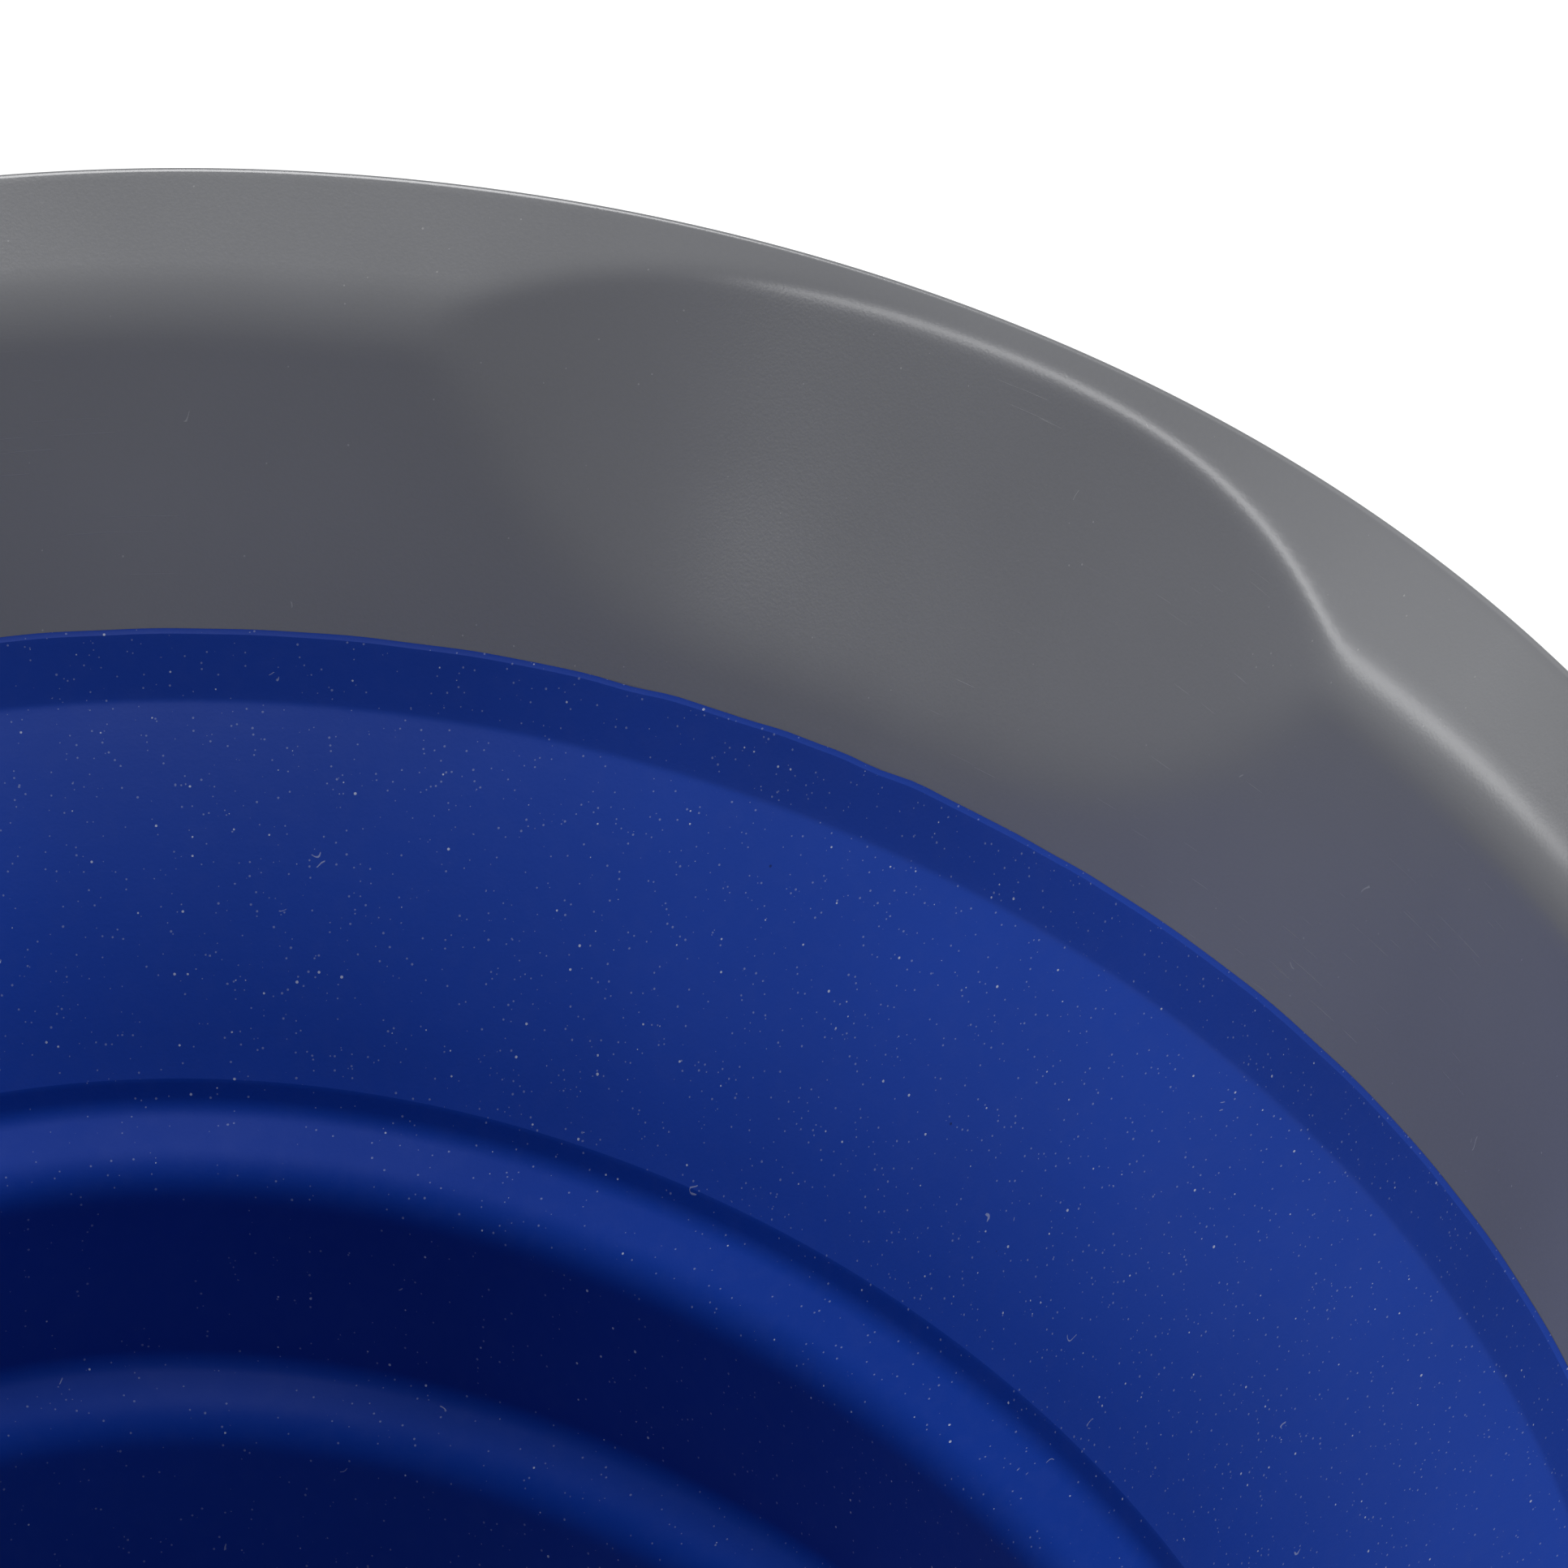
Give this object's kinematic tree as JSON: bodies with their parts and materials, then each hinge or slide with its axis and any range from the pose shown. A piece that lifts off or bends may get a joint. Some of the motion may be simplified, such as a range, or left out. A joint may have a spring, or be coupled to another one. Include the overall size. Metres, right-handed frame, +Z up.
{
  "type": "collapsible pet bathtub",
  "caption": "Oval folding pet bathtub: a rigid rim, a rubber wall in nesting tiers that presses flat, and a base pan with a plugged drain.",
  "frame": {"origin": "on the ground, under the middle of the tub", "axes": "+X along the tub away from the drain, +Y across it, +Z up"},
  "size_m": [0.7204, 0.4804, 0.236],
  "materials": {
    "rim_plastic": "satin moulded",
    "wall_rubber": "matt moulded",
    "base_plastic": "satin moulded",
    "mat_rubber": "textured",
    "foot_rubber": "matt",
    "drain_plastic": "gloss moulded",
    "gasket_rubber": "smooth",
    "plug_rubber": "matt moulded"
  },
  "bodies": {
    "base": {"base_pan": "base_plastic", "base_grip_mat": "mat_rubber", "wall_lower_tier": "wall_rubber", "foot_pad_1": "foot_rubber", "foot_pad_2": "foot_rubber", "foot_pad_3": "foot_rubber", "foot_pad_4": "foot_rubber", "foot_pad_5": "foot_rubber", "foot_pad_6": "foot_rubber", "drain_seat": "drain_plastic", "drain_gasket": "gasket_rubber", "drain_locknut": "drain_plastic", "drain_strainer": "drain_plastic"},
    "middle": {"wall_middle_tier": "wall_rubber"},
    "upper": {"wall_upper_tier": "wall_rubber"},
    "rim": {"rim_shell": "rim_plastic", "wall_collar": "wall_rubber"},
    "plug": {"drain_plug": "plug_rubber"},
    "pull_ring": {"plug_pull_ring": "drain_plastic"}
  },
  "joints": [
    {"name": "middle_fold", "type": "slide", "parent": "base", "child": "middle", "axis": [0, 0, -1], "range_m": [0, 0.044]},
    {"name": "upper_fold", "type": "slide", "parent": "middle", "child": "upper", "axis": [0, 0, -1], "range_m": [0, 0.044]},
    {"name": "rim_fold", "type": "slide", "parent": "upper", "child": "rim", "axis": [0, 0, -1], "range_m": [0, 0.044]},
    {"name": "plug_lift", "type": "slide", "parent": "base", "child": "plug", "axis": [0, 0, 1], "range_m": [0, 0.25]},
    {"name": "pull_ring_hinge", "type": "hinge", "parent": "plug", "child": "pull_ring", "pos_m": [-0.175, 0, 0.0294], "axis": [0, -1, 0], "range_deg": [0, 170]}
  ],
  "couplings": [
    {"joint": "upper_fold", "follows": "middle_fold", "ratio": 1},
    {"joint": "rim_fold", "follows": "middle_fold", "ratio": 1}
  ]
}
